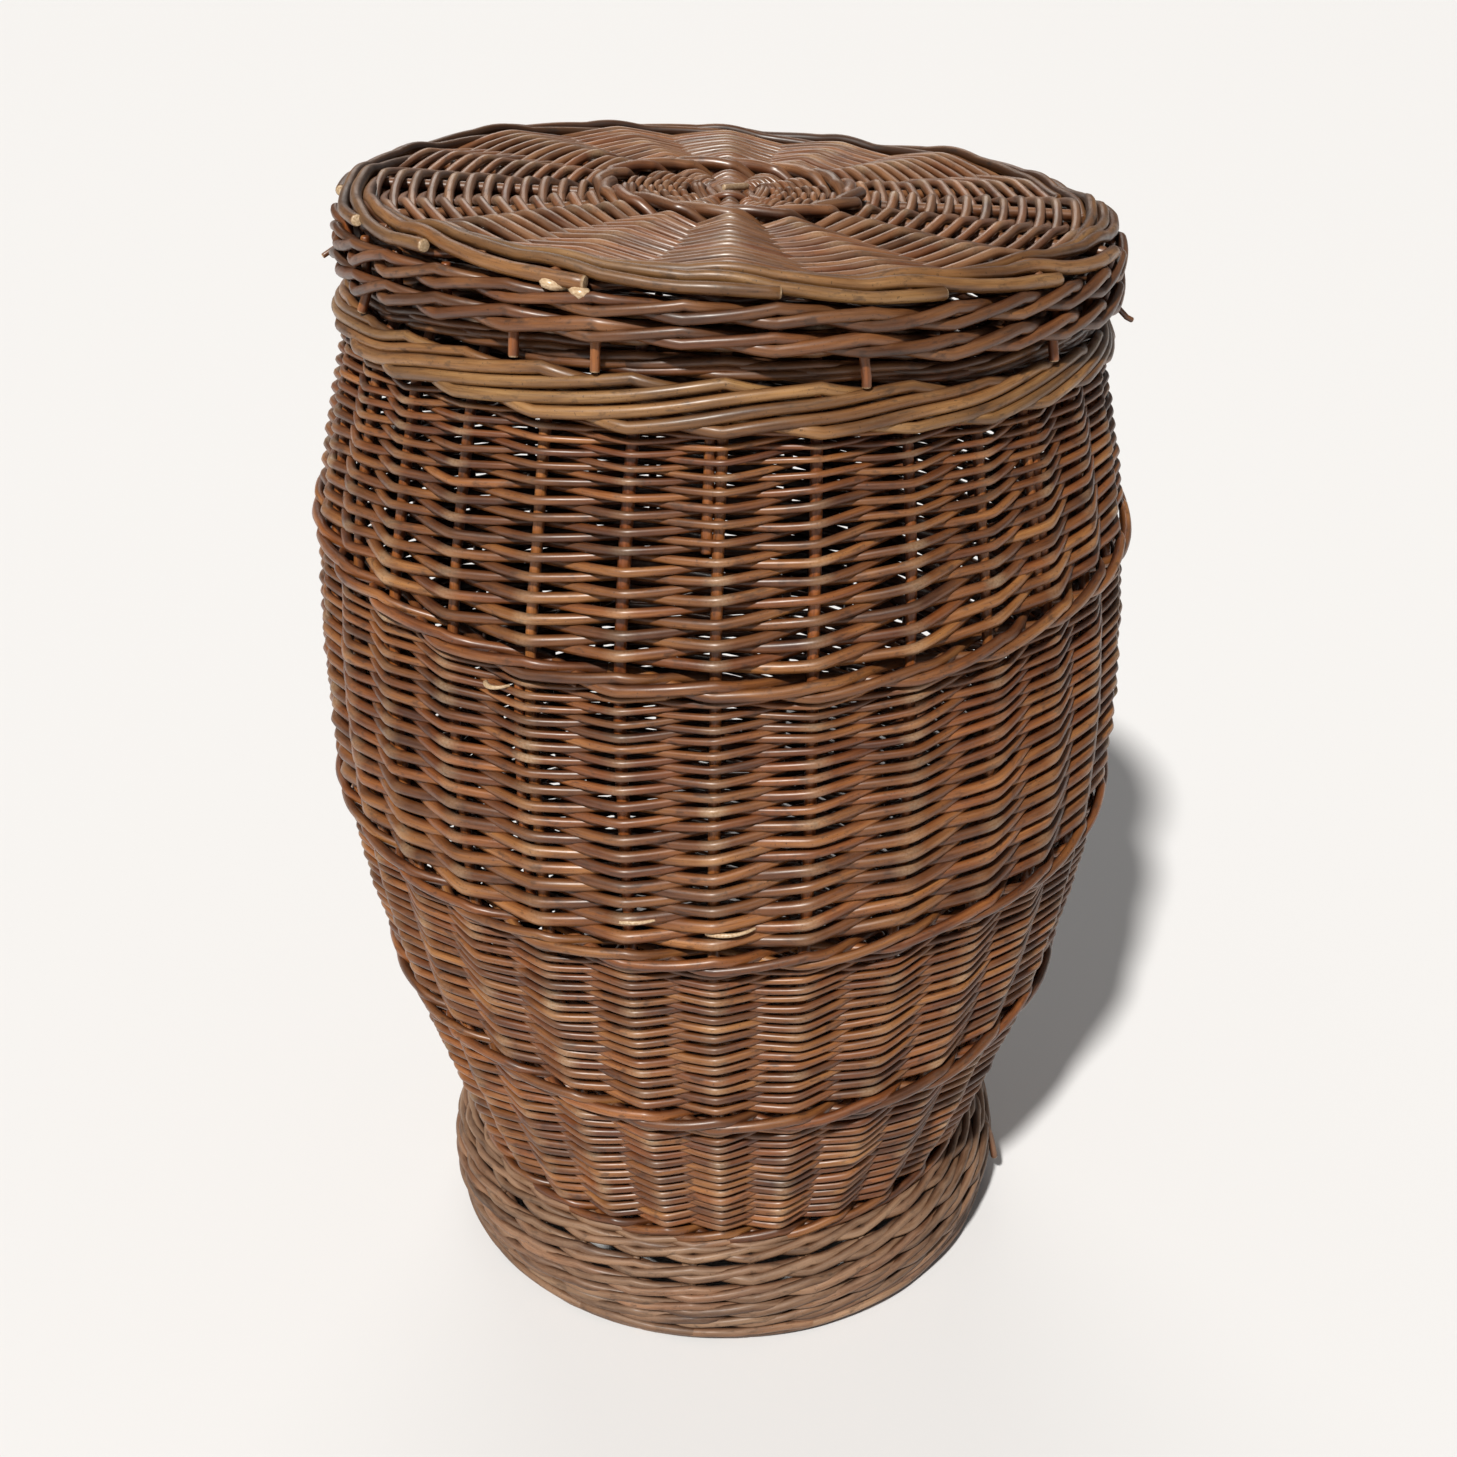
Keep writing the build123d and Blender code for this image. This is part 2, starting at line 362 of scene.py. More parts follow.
    def unroll(self, mesh):
        """Lays every rod out as a strip, strips end to end in rows, as the texture layer."""
        length = np.concatenate(self.lengths)
        reach = np.cumsum(length) - length
        total = float(length.sum())
        girth = TAU * MEAN_ROD
        row_length = max(math.sqrt(girth * total), 1.5 * float(length.max()))
        rows = int(total // row_length) + 1
        width = row_length + float(length.max())
        row = np.floor(reach / row_length)
        left = (reach - row * row_length) / width
        right = left + length / width
        edge = (np.arange(self.sides + 1) / self.sides) * STRIP_COVER + 0.5 * (1.0 - STRIP_COVER)
        low = (row[:, None] + edge[None, :-1]) / rows
        high = (row[:, None] + edge[None, 1:]) / rows
        left = np.broadcast_to(left[:, None], low.shape)
        right = np.broadcast_to(right[:, None], low.shape)
        quad_uv = np.stack((np.stack((left, low), 2), np.stack((left, high), 2),
                            np.stack((right, high), 2), np.stack((right, low), 2)), axis=2)
        ends = np.cumsum([len(piece) for piece in self.lengths])
        first = np.concatenate(((0,), ends[:-1]))
        caps = np.stack((first, ends - 1), axis=1).ravel()
        cap_low, cap_high = low[caps], high[caps]
        cap_left, cap_right = left[caps], right[caps]
        cap_uv = np.stack((np.stack((cap_left, cap_low), 2), np.stack((cap_left, cap_high), 2),
                           np.stack((cap_right, 0.5 * (cap_low + cap_high)), 2)), axis=2)
        layer = mesh.uv_layers.new(name="OFBake")
        uv = np.concatenate((quad_uv.reshape(-1, 2), cap_uv.reshape(-1, 2)))
        layer.data.foreach_set("uv", uv.ravel().astype(np.float32))


# ------------------------------------------------------------ weaving patterns
KINK = 0.987  # nearer 1 bends the rods more sharply where they cross a stake
FINE = np.array((0.0, 0.04, 0.09, 0.18, 0.34, 0.5, 0.66, 0.82, 0.91, 0.96))
CROWN = 0.90  # a stroke is paler near its stake, from wear and a painted highlight, where zigzag's cosine is above this
WEAR_AND_GLINT_STEP, WEAR_AND_GLINT = 0.7, 0.16  # length of these pale spots in stake spaces, and how pale they are


def stations(first, last):
    """Places along a rod, in stake spaces, close together where it bends round a stake."""
    whole = np.arange(math.floor(first), math.ceil(last) + 1)
    place = (whole[:, None] + FINE[None, :]).ravel()
    return place[(place >= first) & (place <= last)]


def zigzag(place):
    """1 in front of even stakes, -1 behind odd ones, almost straight in between."""
    return np.arcsin(KINK * np.cos(math.pi * place)) / math.asin(KINK)


def randing(bundle, surface, count, low, high, strokes, taper, cover, depth,
            start=FRONT, facing=outwards, fuller=0.0):
    """Each rod starts at its own stake and goes in front of one, behind one, rising as it goes.

    strokes is how often it comes to the front on its way from low to high. The lowest strokes
    are taper times as far apart as the highest, cover is rod over spacing, depth is how far the
    rods swing out and in, and fuller says how much thicker they are at the back, where the weave
    is tighter.
    """
    pitch = np.linspace(taper, 1.0, strokes)
    pitch *= (high - low) / pitch.sum()
    level = low + np.cumsum(pitch) - 0.5 * pitch
    index = np.arange(-1, strokes + 1)
    level = np.concatenate(((low - 0.2 * pitch[0],), level, (high + 0.2 * pitch[-1],)))
    width = cover * np.concatenate((pitch[:1], pitch, pitch[-1:]))
    place = stations(-0.95, 2 * strokes - 0.4)
    for rod in range(count):
        size = bundle.rng.uniform(0.90, 1.10)
        height = np.interp(0.5 * place, index, level)
        height = np.clip(height, low + 0.3 * width[-1], high - 0.3 * width[-1])
        height += bundle.wander(place, 1.0, 0.05 * width[0])
        radius = 0.5 * size * np.interp(0.5 * place, index, width)
        off = depth * zigzag(place) + bundle.wander(place, 1.0, 0.0004)
        angle = start + TAU / count * (rod + place)
        radius *= 1.0 + fuller * (0.5 - 0.5 * np.cos(angle - FRONT))
        # pale spots where a stroke crosses in front of its stake: partly worn varnish, partly a
        # painted highlight on the bend
        crown = np.clip((np.cos(math.pi * place) - CROWN) / (1.0 - CROWN), 0.0, 1.0)
        worn = crown * np.abs(bundle.wander(place, WEAR_AND_GLINT_STEP, WEAR_AND_GLINT))
        bundle.add(surface(angle, height, off), radius, facing, bare=worn)


def waling(bundle, surface, count, low, high, strands, rounds, rod_radius, depth,
           start=FRONT, facing=outwards, back=1, spread=None):
    """Strands that pass in front of some stakes and behind the rest, like a twisted cord.

    Each passes in front of strands - back stakes, then behind back of them. spread is how far
    it climbs along the front, and rounds is how often the band goes round from low to high.
    """
    front = strands - back
    pitch = (high - low) / rounds
    spread = pitch * (front - 1) / front if spread is None else spread
    knots = np.arange(strands + 1, dtype=float)
    off_knots = np.array([1.0] * front + [-1.0] * back + [1.0])
    descent = np.linspace(0.5, -0.5, back + 2)[1:-1] - 0.15
    rise_knots = np.concatenate((np.linspace(-0.5, 0.5, front), descent, (-0.5,)))
    hidden = front + 0.5 * (back - 1) - strands  # rods are joined behind a stake
    turns = math.ceil(count * rounds / strands)
    pieces = max(2, 2 * rounds)
    for strand in range(strands):
        cuts = np.linspace(0.0, turns, pieces + 1)
        cuts[1:-1] += bundle.rng.uniform(-1.2, 1.2, pieces - 1)
        cuts = np.unique(np.round(cuts)) * strands - strand + hidden
        for begin, end in zip(cuts[:-1], cuts[1:]):
            place = stations(begin - 0.25, end + 0.25)
            phase = np.mod(place + strand, strands)
            swing = np.sin(0.5 * math.pi * np.interp(phase, knots, off_knots))
            belly = np.clip(np.sin(math.pi * phase / max(front - 1, 1)), 0.0, 1.0)
            swing += 0.12 * belly * (phase < front - 1)
            rise = np.interp(phase, knots, rise_knots)
            turn = np.clip(place / count - 0.5, 0.0, rounds - 1.0)
            height = low + 0.5 * pitch + pitch * turn + spread * rise
            height += bundle.wander(place, 2.0, 0.06 * rod_radius)
            size = bundle.rng.uniform(0.9, 1.08) * np.linspace(1.08, 0.9, len(place))
            off = depth * swing + bundle.wander(place, 1.5, 0.0004)
            angle = start + TAU / count * place
            bundle.add(surface(angle, height, off), rod_radius * size, facing)


# ------------------------------------------------------------ material
def nodes_of(material):
    """An empty node tree with its output and principled shader."""
    material.use_nodes = True
    tree = material.node_tree
    tree.nodes.clear()
    output = tree.nodes.new("ShaderNodeOutputMaterial")
    shader = tree.nodes.new("ShaderNodeBsdfPrincipled")
    tree.links.new(shader.outputs["BSDF"], output.inputs["Surface"])
    return tree, shader


def attribute(tree, name):
    """A vector that the rods' points carry."""
    node = tree.nodes.new("ShaderNodeAttribute")
    node.attribute_name = name
    return node.outputs["Vector"]


def split(tree, source):
    """The X, Y and Z outputs of a vector."""
    node = tree.nodes.new("ShaderNodeSeparateXYZ")
    tree.links.new(source, node.inputs["Vector"])
    return node.outputs


def noise(tree, source, scale, detail, roughness):
    """Noise over the rod's own coordinates; scale is along, across, across."""
    mapping = tree.nodes.new("ShaderNodeMapping")
    mapping.inputs["Scale"].default_value = scale
    tree.links.new(source, mapping.inputs["Vector"])
    texture = tree.nodes.new("ShaderNodeTexNoise")
    texture.inputs["Scale"].default_value = 1.0
    texture.inputs["Detail"].default_value = detail
    texture.inputs["Roughness"].default_value = roughness
    tree.links.new(mapping.outputs["Vector"], texture.inputs["Vector"])
    return texture.outputs["Fac"]


def ramp(tree, source, stops):
    """Colour ramp with the given (place, colour) stops."""
    node = tree.nodes.new("ShaderNodeValToRGB")
    elements = node.color_ramp.elements
    while len(elements) < len(stops):
        elements.new(0.5)
    for element, (place, colour) in zip(elements, stops):
        element.position = place
        element.color = (*colour, 1.0)
    tree.links.new(source, node.inputs["Fac"])
    return node.outputs["Color"]


def mix(tree, factor, first, second, blend="MIX"):
    """Mixes two colours; factor and colours may be sockets or plain values."""
    node = tree.nodes.new("ShaderNodeMix")
    node.data_type = "RGBA"
    node.blend_type = blend
    for value, socket in ((factor, node.inputs["Factor"]), (first, node.inputs["A"]),
                          (second, node.inputs["B"])):
        if isinstance(value, bpy.types.NodeSocket):
            tree.links.new(value, socket)
        elif isinstance(value, (int, float)):
            socket.default_value = value
        else:
            socket.default_value = (*value, 1.0)
    return node.outputs["Result"]


def scaled(tree, source, factor, offset=0.0):
    """source * factor + offset, kept between 0 and 1."""
    node = tree.nodes.new("ShaderNodeMath")
    node.operation = "MULTIPLY_ADD"
    node.use_clamp = True
    node.inputs[1].default_value = factor
    node.inputs[2].default_value = offset
    tree.links.new(source, node.inputs[0])
    return node.outputs[0]


def multiplied(tree, first, second):
    """Product of two sockets."""
    node = tree.nodes.new("ShaderNodeMath")
    node.operation = "MULTIPLY"
    tree.links.new(first, node.inputs[0])
    tree.links.new(second, node.inputs[1])
    return node.outputs[0]


BLACK, WHITE = (0.0, 0.0, 0.0), (1.0, 1.0, 1.0)
# painted shade: the ramp that uses this scale darkens each rod's inner side and flanks, where the
# rods shade one another
PAINTED_SHADE_SCALE = 160.0  # turns the 3 mm from a rod's middle to its outer side into half the ramp


def bark(tree, grain, shades, dark, middle, light):
    """Colour of the bark: broad patches, a shade for each rod, streaks, stains and dots."""
    broad = noise(tree, grain, (16.0, 120.0, 120.0), 3.0, 0.55)
    streak = noise(tree, grain, (70.0, 1500.0, 1500.0), 4.0, 0.65)
    blotch = noise(tree, grain, (110.0, 260.0, 260.0), 3.0, 0.6)
    speck = noise(tree, grain, (900.0, 900.0, 900.0), 2.0, 0.5)

    colour = ramp(tree, broad, ((0.30, dark), (0.5, middle), (0.72, light)))
    tone = ramp(tree, shades["X"], ((0.0, (0.72, 0.66, 0.62)), (0.35, (0.93, 0.90, 0.87)),
                                    (0.7, (1.06, 1.05, 1.04)), (1.0, (1.20, 1.24, 1.26))))
    colour = mix(tree, 1.0, colour, tone, "MULTIPLY")
    warm = ramp(tree, shades["Y"], ((0.0, (1.06, 0.94, 0.88)), (0.5, WHITE),
                                    (1.0, (0.97, 1.02, 1.06))))
    colour = mix(tree, 1.0, colour, warm, "MULTIPLY")
    stripes = ramp(tree, streak, ((0.32, (0.62, 0.55, 0.5)), (0.5, WHITE),
                                  (0.72, (1.25, 1.22, 1.2))))
    colour = mix(tree, 0.8, colour, stripes, "MULTIPLY")
    stain = ramp(tree, blotch, ((0.31, WHITE), (0.42, BLACK)))
    colour = mix(tree, scaled(tree, stain, 0.6), colour, tuple(0.4 * c for c in dark))
    dots = ramp(tree, speck, ((0.28, WHITE), (0.34, BLACK)))
    colour = mix(tree, scaled(tree, dots, 0.7), colour, tuple(0.3 * c for c in dark))
    return colour, streak, blotch, speck


def settled_dust(tree, grain, amount):
    """How dusty it is: patchy, and most on the sides that face up."""
    geometry = tree.nodes.new("ShaderNodeNewGeometry")
    up = scaled(tree, split(tree, geometry.outputs["Normal"])["Z"], 0.8, 0.25)
    patch = ramp(tree, noise(tree, grain, (45.0, 300.0, 300.0), 4.0, 0.7),
                 ((0.38, BLACK), (0.62, WHITE)))
    return scaled(tree, multiplied(tree, up, patch), amount)


def willow(name, dark, middle, light, dust, dust_amount, gloss, coat):
    """Varnished willow: streaked and speckled, dusty on top, with painted shade darkening the inner
    side of each rod. gloss is its roughness where it is clean, and coat the varnish."""
    material = bpy.data.materials.new(name)
    tree, shader = nodes_of(material)
    grain = attribute(tree, "grain")
    shades = split(tree, attribute(tree, "rod"))
    colour, streak, blotch, speck = bark(tree, grain, shades, dark, middle, light)
    dusty_part = settled_dust(tree, grain, dust_amount)
    colour = mix(tree, dusty_part, colour, dust)
    # painted shade: darker towards each rod's inner side and flanks, a little lighter on its outer
    # side
    outer = scaled(tree, split(tree, grain)["Y"], PAINTED_SHADE_SCALE, 0.5)
    painted_shade = ramp(tree, outer, ((0.08, (0.18, 0.13, 0.10)), (0.48, (0.64, 0.52, 0.44)),
                               (0.78, (1.08, 1.07, 1.06))))
    colour = mix(tree, 1.0, colour, painted_shade, "MULTIPLY")
    # paler where bark is worn or cut away; where randed strokes cross their stakes this is partly a
    # painted highlight
    pale_wood_and_glint = ramp(tree, speck, ((0.3, (0.42, 0.27, 0.14)), (0.7, (0.72, 0.55, 0.36))))
    colour = mix(tree, shades["Z"], colour, pale_wood_and_glint)
    tree.links.new(colour, shader.inputs["Base Color"])

    rough = mix(tree, dusty_part, (gloss,) * 3, (0.8,) * 3)
    worn = ramp(tree, blotch, ((0.3, (1.35,) * 3), (0.55, (1.0,) * 3), (0.8, (0.82,) * 3)))
    rough = mix(tree, 1.0, rough, worn, "MULTIPLY")
    tree.links.new(rough, shader.inputs["Roughness"])
    shader.inputs["Coat Weight"].default_value = coat
    shader.inputs["Coat Roughness"].default_value = 0.26

    bump = tree.nodes.new("ShaderNodeBump")
    bump.inputs["Strength"].default_value = 0.15
    bump.inputs["Distance"].default_value = 0.0005
    tree.links.new(mix(tree, 0.5, streak, speck), bump.inputs["Height"])
    tree.links.new(bump.outputs["Normal"], shader.inputs["Normal"])
    return material


brown = willow("willow_brown", (0.058, 0.016, 0.0039), (0.15, 0.051, 0.012),
               (0.272, 0.112, 0.031), dust=(0.22, 0.122, 0.055), dust_amount=0.14,
               gloss=0.42, coat=0.22)
dark_brown = willow("willow_dark", (0.043, 0.014, 0.0038), (0.112, 0.041, 0.012),
                    (0.2, 0.086, 0.028), dust=(0.21, 0.116, 0.055), dust_amount=0.14,
                    gloss=0.42, coat=0.24)
stake_brown = willow("willow_stake", (0.11, 0.032, 0.0074), (0.23, 0.075, 0.017),
                     (0.33, 0.122, 0.033), dust=(0.25, 0.136, 0.057), dust_amount=0.1,
                     gloss=0.42, coat=0.2)
tan = willow("willow_tan", (0.067, 0.027, 0.0082), (0.163, 0.076, 0.024),
             (0.279, 0.148, 0.053), dust=(0.245, 0.158, 0.079), dust_amount=0.22,
             gloss=0.42, coat=0.22)
lid_brown = willow("willow_lid", (0.064, 0.023, 0.0085), (0.154, 0.062, 0.024),
                   (0.242, 0.112, 0.049), dust=(0.205, 0.112, 0.058), dust_amount=0.40,
                   gloss=0.35, coat=0.44)
dusty = willow("willow_foot", (0.061, 0.029, 0.015), (0.153, 0.08, 0.041),
               (0.267, 0.156, 0.09), dust=(0.27, 0.173, 0.112), dust_amount=0.60,
               gloss=0.50, coat=0.08)


# ------------------------------------------------------------ barrel
# strokes, taper, cover and depth of each section, from the bottom up
SECTION_WEAVE = ((14, 1.13, 0.56, 0.0060), (15, 1.55, 0.59, 0.0058), (17, 2.0, 0.59, 0.0053),
                 (14, 2.05, 0.56, 0.0053))


def barrel_sections():
    """The four woven sections of the wall, from the bottom up."""
    for name, (low, high), weave in zip(SECTIONS, bands, SECTION_WEAVE):
        bundle = Bundle(f"{name}_rods")
        randing(bundle, barrel, STAKES, low, high, *weave, fuller=0.34)
        bundle.finish(brown, "root", [name])


def wales():
    """Bands of heavy rods between the sections, at the base and at the ledge."""
    for name in ("lower_wale", "middle_wale", "upper_wale"):
        low, high = span(name)
        bundle = Bundle(f"{name}_rods", 10)
        waling(bundle, barrel, STAKES, low, high, 3, 1, WALE_ROD, 0.0082)
        bundle.finish(brown, "root", [name])
    bundle = Bundle("upsett_wale_rods", 10)
    waling(bundle, barrel, STAKES, upsett_low + 0.002, upsett_high, 3, 1, WALE_ROD, 0.0070)
    bundle.finish(brown, "root", ["upsett_wale"])
    bundle = Bundle("ledge_wale_rods", 10)
    waling(bundle, ledge_slope, STAKES, ledge_low, ledge_high, 6, 1, LEDGE_ROD, 0.0056,
           back=2, spread=0.0150)
    bundle.finish(tan, "root", ["ledge_wale"])


STEP_IN = 0.028  # height over which the stakes step in from the wall to the neck
# second rods beside some stakes: the stake's number, and where the rod starts and ends
BYE_STAKES = {0: (0.545, 0.594), 4: (0.49, 0.594), 9: (0.33, 0.47), 13: (0.49, 0.594),
              18: (0.22, 0.32), 22: (0.49, 0.594), 26: (0.36, 0.475), 28: (0.335, 0.475)}
BYE_ANGLE = 0.030  # between a stake and the rod beside it


def stake_line(height):
    """Radius of the stakes: up the wall, then stepped in to the neck."""
    bend = np.clip((height - (ledge_low - 0.004)) / STEP_IN, 0.0, 1.0)
    bend = bend * bend * (3.0 - 2.0 * bend)
    return wall_mid(np.minimum(height, ledge_low + 0.004)) * (1.0 - bend) + neck_mid * bend


def stakes():
    """The uprights, with a second rod beside some of them."""
    bundle = Bundle("body_stake_rods", 10)
    height = np.linspace(upsett_low, neck_top - 0.004, 90)
    for number in range(STAKES):
        true_angle = FRONT + number * STAKE_STEP
        angle = true_angle + bundle.wander(height, 0.08, 0.004)
        radius = stake_line(height) + bundle.wander(height, 0.05, 0.0003)
        size = STAKE_ROD * bundle.rng.uniform(0.92, 1.12)
        bundle.add(around(radius, angle, height), size * np.linspace(1.08, 0.92, len(height)),
                   cut=(False, True))
        if number in BYE_STAKES:
            part = np.linspace(*BYE_STAKES[number], 30)
            bundle.add(around(stake_line(part), true_angle - BYE_ANGLE, part), 0.85 * size,
                       cut=(False, True))
    bundle.finish(stake_brown, "root", ["body_stakes"])


def neck():
    """The recessed neck that the lid sits over, and the rods that fill the step below it."""
    bundle = Bundle("neck_weave_rods")
    randing(bundle, cylinder(neck_mid), STAKES, neck_low, neck_high + 0.001, 4, 1.0, 0.78, 0.0050)
    bundle.finish(brown, "root", ["neck_weave"])
    bundle = Bundle("neck_border_rods")
    waling(bundle, cylinder(neck_mid), STAKES, neck_high, neck_top - 0.001, 3, 1,
           NECK_BORDER_ROD, 0.0038)
    bundle.finish(brown, "root", ["neck_border"])
    bundle = Bundle("neck_shoulder_rods")
    waling(bundle, shoulder, STAKES, ledge_high, ledge_high + 0.010, 3, 2, SHOULDER_ROD, 0.0036)
    # the darker willow on these rods is painted shade, standing in for the skirt's shadow
    bundle.finish(dark_brown, "root")


# ------------------------------------------------------------ foot and base
FOOT_BORDER_COUNT = 15
FOOT_BORDER_REACH = 1.05  # angle that one rod of the foot's border covers


def foot():
    """The flared ring that the hamper stands on."""
    bundle = Bundle("foot_weave_rods", 9)
    waling(bundle, foot_wall, STAKES, foot_low, foot_high + 0.011, 3, 6, FOOT_ROD, 0.0030,
           start=FRONT + 3.5 * STAKE_STEP)
    bundle.finish(dusty, "root", ["foot_weave"])
    bundle = Bundle("foot_stake_rods")
    height = np.linspace(foot_border_top - 0.004, foot_high - 0.006, 24)
    radius = foot_curve(np.clip(height, foot_low, foot_high))
    for number in range(STAKES):
        bundle.add(around(radius, FRONT + (number + 0.5) * STAKE_STEP, height), FOOT_STAKE_ROD)
    bundle.finish(dusty, "root", ["foot_stakes"])
    bundle = Bundle("foot_border_rods", 10)
    part = np.linspace(0.0, 1.0, 40)
    arch = np.sin(math.pi * part)
    for number in range(FOOT_BORDER_COUNT):
        angle = FRONT + TAU * (number / FOOT_BORDER_COUNT) + FOOT_BORDER_REACH * part
        radius = foot_curve(foot_low) + 0.0005 + 0.0065 * arch
        height = FOOT_BORDER_ROD + 0.0003 + 0.0062 * arch ** 2
        height += np.abs(bundle.wander(part, 0.2, 0.0010))
        bundle.add(around(radius, angle, height), FOOT_BORDER_ROD, cut=(False, True))
    bundle.finish(dusty, "root", ["foot_border"])


def stick_paths(reach, level, gap):
    """Eight sticks: four over four at the middle, fanned out to sixteen even spokes."""
    pitch = 2.15 * SPOKE_ROD
    far = np.linspace(-reach, reach, 121)
    lift = gap * (1.0 - np.clip((np.abs(far) - 0.02) / 0.05, 0.0, 1.0))
    for layer, quarter in ((-1, 0.0), (1, 0.5 * math.pi)):
        for row in (-3, -1, 1, 3):
            fan = abs(row) * 0.5 * SPOKE_STEP
            side = 0.5 * row * pitch
            bend = abs(side) / math.tan(fan)
            blend = np.clip((np.abs(far) - bend * 0.6) / (bend * 0.9), 0.0, 1.0)
            blend = blend * blend * (3.0 - 2.0 * blend)
            fanned = math.copysign(1.0, row) * np.abs(far) * math.sin(fan)
            across = side * (1.0 - blend) + fanned * blend
            ahead = far * (1.0 - blend * (1.0 - math.cos(fan)))
            x = ahead * math.cos(quarter) - across * math.sin(quarter)
            y = ahead * math.sin(quarter) + across * math.cos(quarter)
            yield np.stack((x, y, level + layer * lift), axis=1)


def base():
    """The round bottom, seen from below and through the open top."""
    level = 0.5 * (base_low + base_high)
    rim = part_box("base_weave")[1].x
    bundle = Bundle("base_stick_rods", 10)
    for path in stick_paths(rim - 0.003, level, SPOKE_ROD):
        bundle.add(path, SPOKE_ROD, upwards)
    bundle.finish(stake_brown, "root", ["base_sticks_lower", "base_sticks_upper"])
    bundle = Bundle("base_weave_rods")
    between = FRONT + 0.5 * SPOKE_STEP
    waling(bundle, disc(level), SPOKES, 0.022, 0.050, 2, 5, BASE_ROD, 0.0042, start=between,
           facing=upwards)
    randing(bundle, disc(level), SPOKES, 0.050, rim, 12, 1.0, 0.52, 0.0048, start=between,
            facing=upwards)
    bundle.finish(brown, "root", ["base_weave"])


# ------------------------------------------------------------ lid
RING_WIDTH = 0.013  # of the ring of thick rods


def lid_sticks():
    """The cross of sticks, fanned out to spokes that point between those of the base."""
    bundle = Bundle("lid_stick_rods", 10)
    turn = 0.5 * SPOKE_STEP
    for path in stick_paths(lid_rim - 0.006, lid_mid, 0.8 * SPOKE_ROD):
        x = path[:, 0] * math.cos(turn) - path[:, 1] * math.sin(turn)
        y = path[:, 0] * math.sin(turn) + path[:, 1] * math.cos(turn)
        bundle.add(np.stack((x, y, path[:, 2]), axis=1), SPOKE_ROD, upwards)
    bundle.finish(lid_brown, "lid", ["lid_sticks_lower", "lid_sticks_upper"])


def lid_weave():
    """The bound cross, the tight centre, the ring of thick rods and the wide field."""
    surface = disc(lid_mid)
    bundle = Bundle("lid_centre_rods")
    waling(bundle, surface, 4, 0.0145, 0.0215, 2, 3, LID_CROSS_ROD, 0.0064, facing=upwards)
    waling(bundle, surface, SPOKES, 0.0225, ring_rim - RING_WIDTH, 2, 7, LID_CENTRE_ROD, 0.0044,
           facing=upwards)
    slant = np.linspace(-0.003, 0.009, 8)  # a short cut rod left lying on the cross
    bundle.add(np.stack((slant, 0.6 * slant, np.full(8, lid_mid + 0.0070)), axis=1), 0.0019,
               upwards, (True, True), 0.35)
    bundle.finish(lid_brown, "lid", ["lid_centre_weave"])
    bundle = Bundle("lid_ring_rods", 12)
    waling(bundle, surface, SPOKES, ring_rim - RING_WIDTH, ring_rim + 0.002, 3, 1, LID_RING_ROD,
           0.0070, start=FRONT + math.pi, facing=upwards)
    bundle.finish(lid_brown, "lid", ["lid_ring_wale"])
    bundle = Bundle("lid_weave_rods", 10)
    randing(bundle, surface, SPOKES, ring_rim + 0.001, lid_rim - 0.010, 13, 1.1, 0.52, 0.0052,
            facing=upwards)
    bundle.finish(lid_brown, "lid", ["lid_weave"])


def lid_border():
    """Spokes bent down along the rim, each over its neighbours, with the ends cut off."""
    bundle = Bundle("lid_border_rods", 12)
    part = np.linspace(0.0, 1.0, 60)
    for number in range(SPOKES):
        reach = bundle.rng.uniform(1.15, 1.40)
        end = FRONT + math.radians(4.0) + number * SPOKE_STEP + bundle.rng.uniform(-0.06, 0.06)
        angle = end - reach * (1.0 - part)
        radius = lid_rim - 0.0215 + 0.0180 * np.clip(part * 1.12, 0.0, 1.0) ** 1.15
        ridge = np.maximum(np.cos(SPOKES * (angle - FRONT)), 0.0)
        height = (lid_mid + 0.0020 + 0.0040 * np.sin(math.pi * np.clip(1.25 * part, 0.0, 1.0))
                  + 0.0022 * ridge * part * (1.0 - part) * 4.0
                  - 0.0028 * part ** 1.6 + bundle.wander(part, 0.25, 0.0006))
        size = BORDER_ROD * bundle.rng.uniform(0.85, 1.1)
        bundle.add(around(radius, angle, height), size * np.linspace(0.8, 1.0, len(part)),
                   cut=(False, True))
    bundle.finish(tan, "lid", ["lid_border"])


# skirt stakes that stick out below the skirt, and how far; the others end inside it
PEGS = {1: 0.010, 4: 0.008, 8: 0.006, 13: 0.008, 17: 0.009, 22: 0.006, 26: 0.007, 29: 0.008,
        30: 0.009}
HIDDEN_PEG = -0.007
PEG_SPLAY = 0.003  # how far a peg's end leans out
PEG_LEAN = 0.016  # and how far at most it leans sideways, as an angle about the axis


def lid_skirt():
    """The rows of thick rods round the neck, and the short stakes that hold them."""
    bundle = Bundle("lid_skirt_rods", 12)
    waling(bundle, cylinder(skirt_mid), SKIRT_STAKES, skirt_low, skirt_high + 0.005, 3, 2,
           SKIRT_ROD, 0.0056, start=FRONT + math.pi + 0.5 * TAU / SKIRT_STAKES)
    bundle.finish(dark_brown, "lid", ["lid_skirt_wale"])
    bundle = Bundle("lid_skirt_stake_rods")
    for number in range(SKIRT_STAKES):
        height = np.linspace(skirt_low - PEGS.get(number, HIDDEN_PEG), lid_low, 12)
        below = np.clip((skirt_low + 0.004 - height) / 0.012, 0.0, 1.0)
        angle = FRONT + TAU * (number + 0.5) / SKIRT_STAKES
        angle = angle + PEG_LEAN * math.sin(2.4 * number) * below
        bundle.add(around(skirt_mid + PEG_SPLAY * below, angle, height), SKIRT_STAKE_ROD,
                   cut=(True, False))
    bundle.finish(stake_brown, "lid", ["lid_skirt_stakes"])


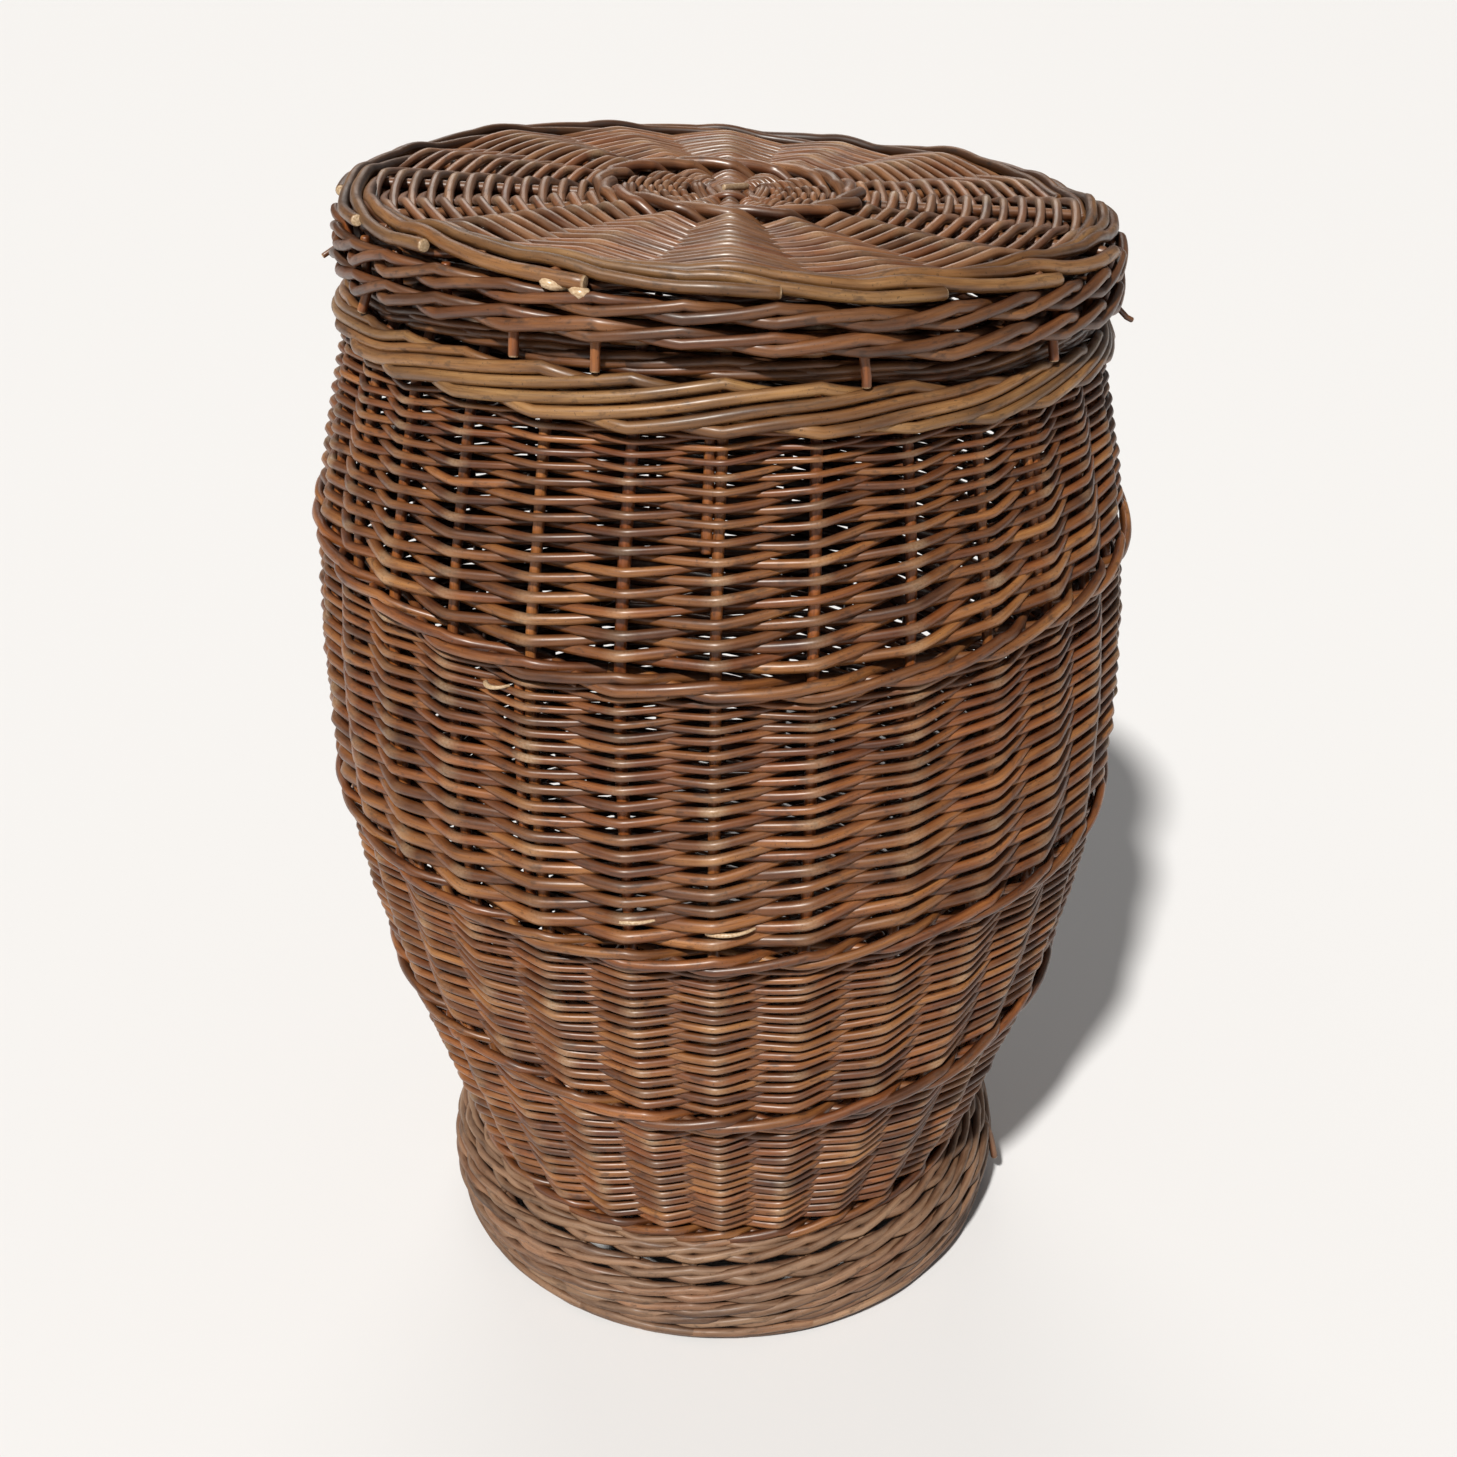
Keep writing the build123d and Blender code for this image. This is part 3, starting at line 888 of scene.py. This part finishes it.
# ------------------------------------------------------------ age and damage
# direction, drop of the end and length of the twigs that stick out of the skirt
TWIGS = ((math.radians(184.0), 0.006, 0.012), (math.radians(-14.0), 0.009, 0.013))
# places where a rod has split: degrees from the front, height above the foot of the third
# section, and angle that the sliver covers
SPLITS = ((-14.5, 0.016, 0.12), (-1.0, 0.012, 0.11), (-30.0, 0.135, 0.06), (152.0, 0.07, 0.10),
          (75.0, 0.05, 0.08))
along_stray = np.linspace(0.0, 1.0, 10)


def lid_strays():
    """Twigs that stick out of the skirt, and a border rod with its bark split off."""
    bundle = Bundle("lid_stray_rods")
    for direction, drop, length in TWIGS:
        path = around(skirt_mid + 0.002 + length * along_stray, direction + 0.02 * along_stray,
                      skirt_low + 0.008 - drop * along_stray)
        bundle.add(path, TWIG_ROD, upwards, (False, True))
    path = around(lid_rim - 0.003 + 0.003 * np.sin(9.0 * along_stray),
                  FRONT + math.radians(-23.5) + 0.10 * along_stray,
                  lid_low + 0.004 - 0.003 * along_stray)
    bundle.add(path, 0.0026, cut=(True, True), bare=0.9)
    bundle.finish(lid_brown, "lid")


def body_splits():
    """Slivers of split rods that stand out from the wall."""
    bundle = Bundle("body_split_rods")
    for degrees, rise, length in SPLITS:
        angle = FRONT + math.radians(degrees) + length * along_stray
        height = bands[2][0] + rise + 0.003 * along_stray
        path = barrel(angle, height, 0.0078 - 0.004 * (2.0 * along_stray - 1.0) ** 2)
        bundle.add(path, TWIG_ROD * np.linspace(1.0, 0.5, 10), cut=(True, True), bare=0.8)
    bundle.finish(brown, "root")


def foot_stray():
    """A loose rod that hangs down outside the foot."""
    bundle = Bundle("foot_stray_rods")
    radius = foot_curve(0.048) + 0.001 + 0.011 * np.sqrt(along_stray)
    path = around(radius, math.radians(-11.0), 0.052 - 0.028 * along_stray)
    bundle.add(path, 0.0022, cut=(False, True))
    bundle.finish(dusty, "root")


barrel_sections()
wales()
stakes()
neck()
foot()
base()
lid_sticks()
lid_weave()
lid_border()
lid_skirt()
lid_strays()
body_splits()
foot_stray()


# ------------------------------------------------------------ floor, light and camera
FLOOR_REACH = 60
CAMERA_PLACE = (0.0052, -0.989, 0.866)
CAMERA_DIP = 27.56  # degrees below level
CAMERA_LENS = 44.81  # mm, on a 36 mm wide sensor
CAMERA_SHIFT = -0.0143  # part of the picture's width


def floor():
    """A plain pale floor."""
    mesh = bpy.data.meshes.new("studio_floor")
    corners = [(-FLOOR_REACH, -FLOOR_REACH, 0), (FLOOR_REACH, -FLOOR_REACH, 0),
               (FLOOR_REACH, FLOOR_REACH, 0), (-FLOOR_REACH, FLOOR_REACH, 0)]
    mesh.from_pydata(corners, [], [(0, 1, 2, 3)])
    piece = bpy.data.objects.new("studio_floor", mesh)
    bpy.context.scene.collection.objects.link(piece)
    material = bpy.data.materials.new("studio_floor")
    shader = nodes_of(material)[1]
    shader.inputs["Base Color"].default_value = (0.74, 0.745, 0.76, 1.0)
    shader.inputs["Roughness"].default_value = 0.9
    mesh.materials.append(material)


def far_lamp(name, place, spread, strength, colour):
    """A far-off light shining from place towards the hamper, even over the whole floor.

    spread is its width in degrees as the hamper sees it: the wider, the softer.
    """
    light = bpy.data.lights.new(name, "SUN")
    light.angle = math.radians(spread)
    light.energy = strength
    light.color = colour
    holder = bpy.data.objects.new(name, light)
    holder.location = place
    holder.rotation_euler = (-Vector(place)).to_track_quat("-Z", "Y").to_euler()
    bpy.context.scene.collection.objects.link(holder)


def sky():
    """Weak even light from all round."""
    world = bpy.data.worlds.new("studio")
    bpy.context.scene.world = world
    world.use_nodes = True
    background = world.node_tree.nodes["Background"]
    background.inputs["Color"].default_value = (1.0, 1.0, 1.0, 1.0)
    background.inputs["Strength"].default_value = 0.15


def camera():
    """Close to the hamper and looking down at it."""
    data = bpy.data.cameras.new("camera")
    data.sensor_width = 36.0
    data.lens = CAMERA_LENS
    data.shift_y = CAMERA_SHIFT
    holder = bpy.data.objects.new("camera", data)
    holder.location = CAMERA_PLACE
    holder.rotation_euler = (math.radians(90.0 - CAMERA_DIP), 0.0, 0.0)
    bpy.context.scene.collection.objects.link(holder)
    bpy.context.scene.camera = holder


floor()
far_lamp("key", (-1.2, -3.2, 3.9), 3.5, 4.2, (1.0, 0.965, 0.91))
far_lamp("fill", (-0.4, 2.9, 2.2), 35.0, 0.62, (1.0, 0.95, 0.88))
sky()
bpy.context.scene.view_settings.view_transform = "Standard"
camera()
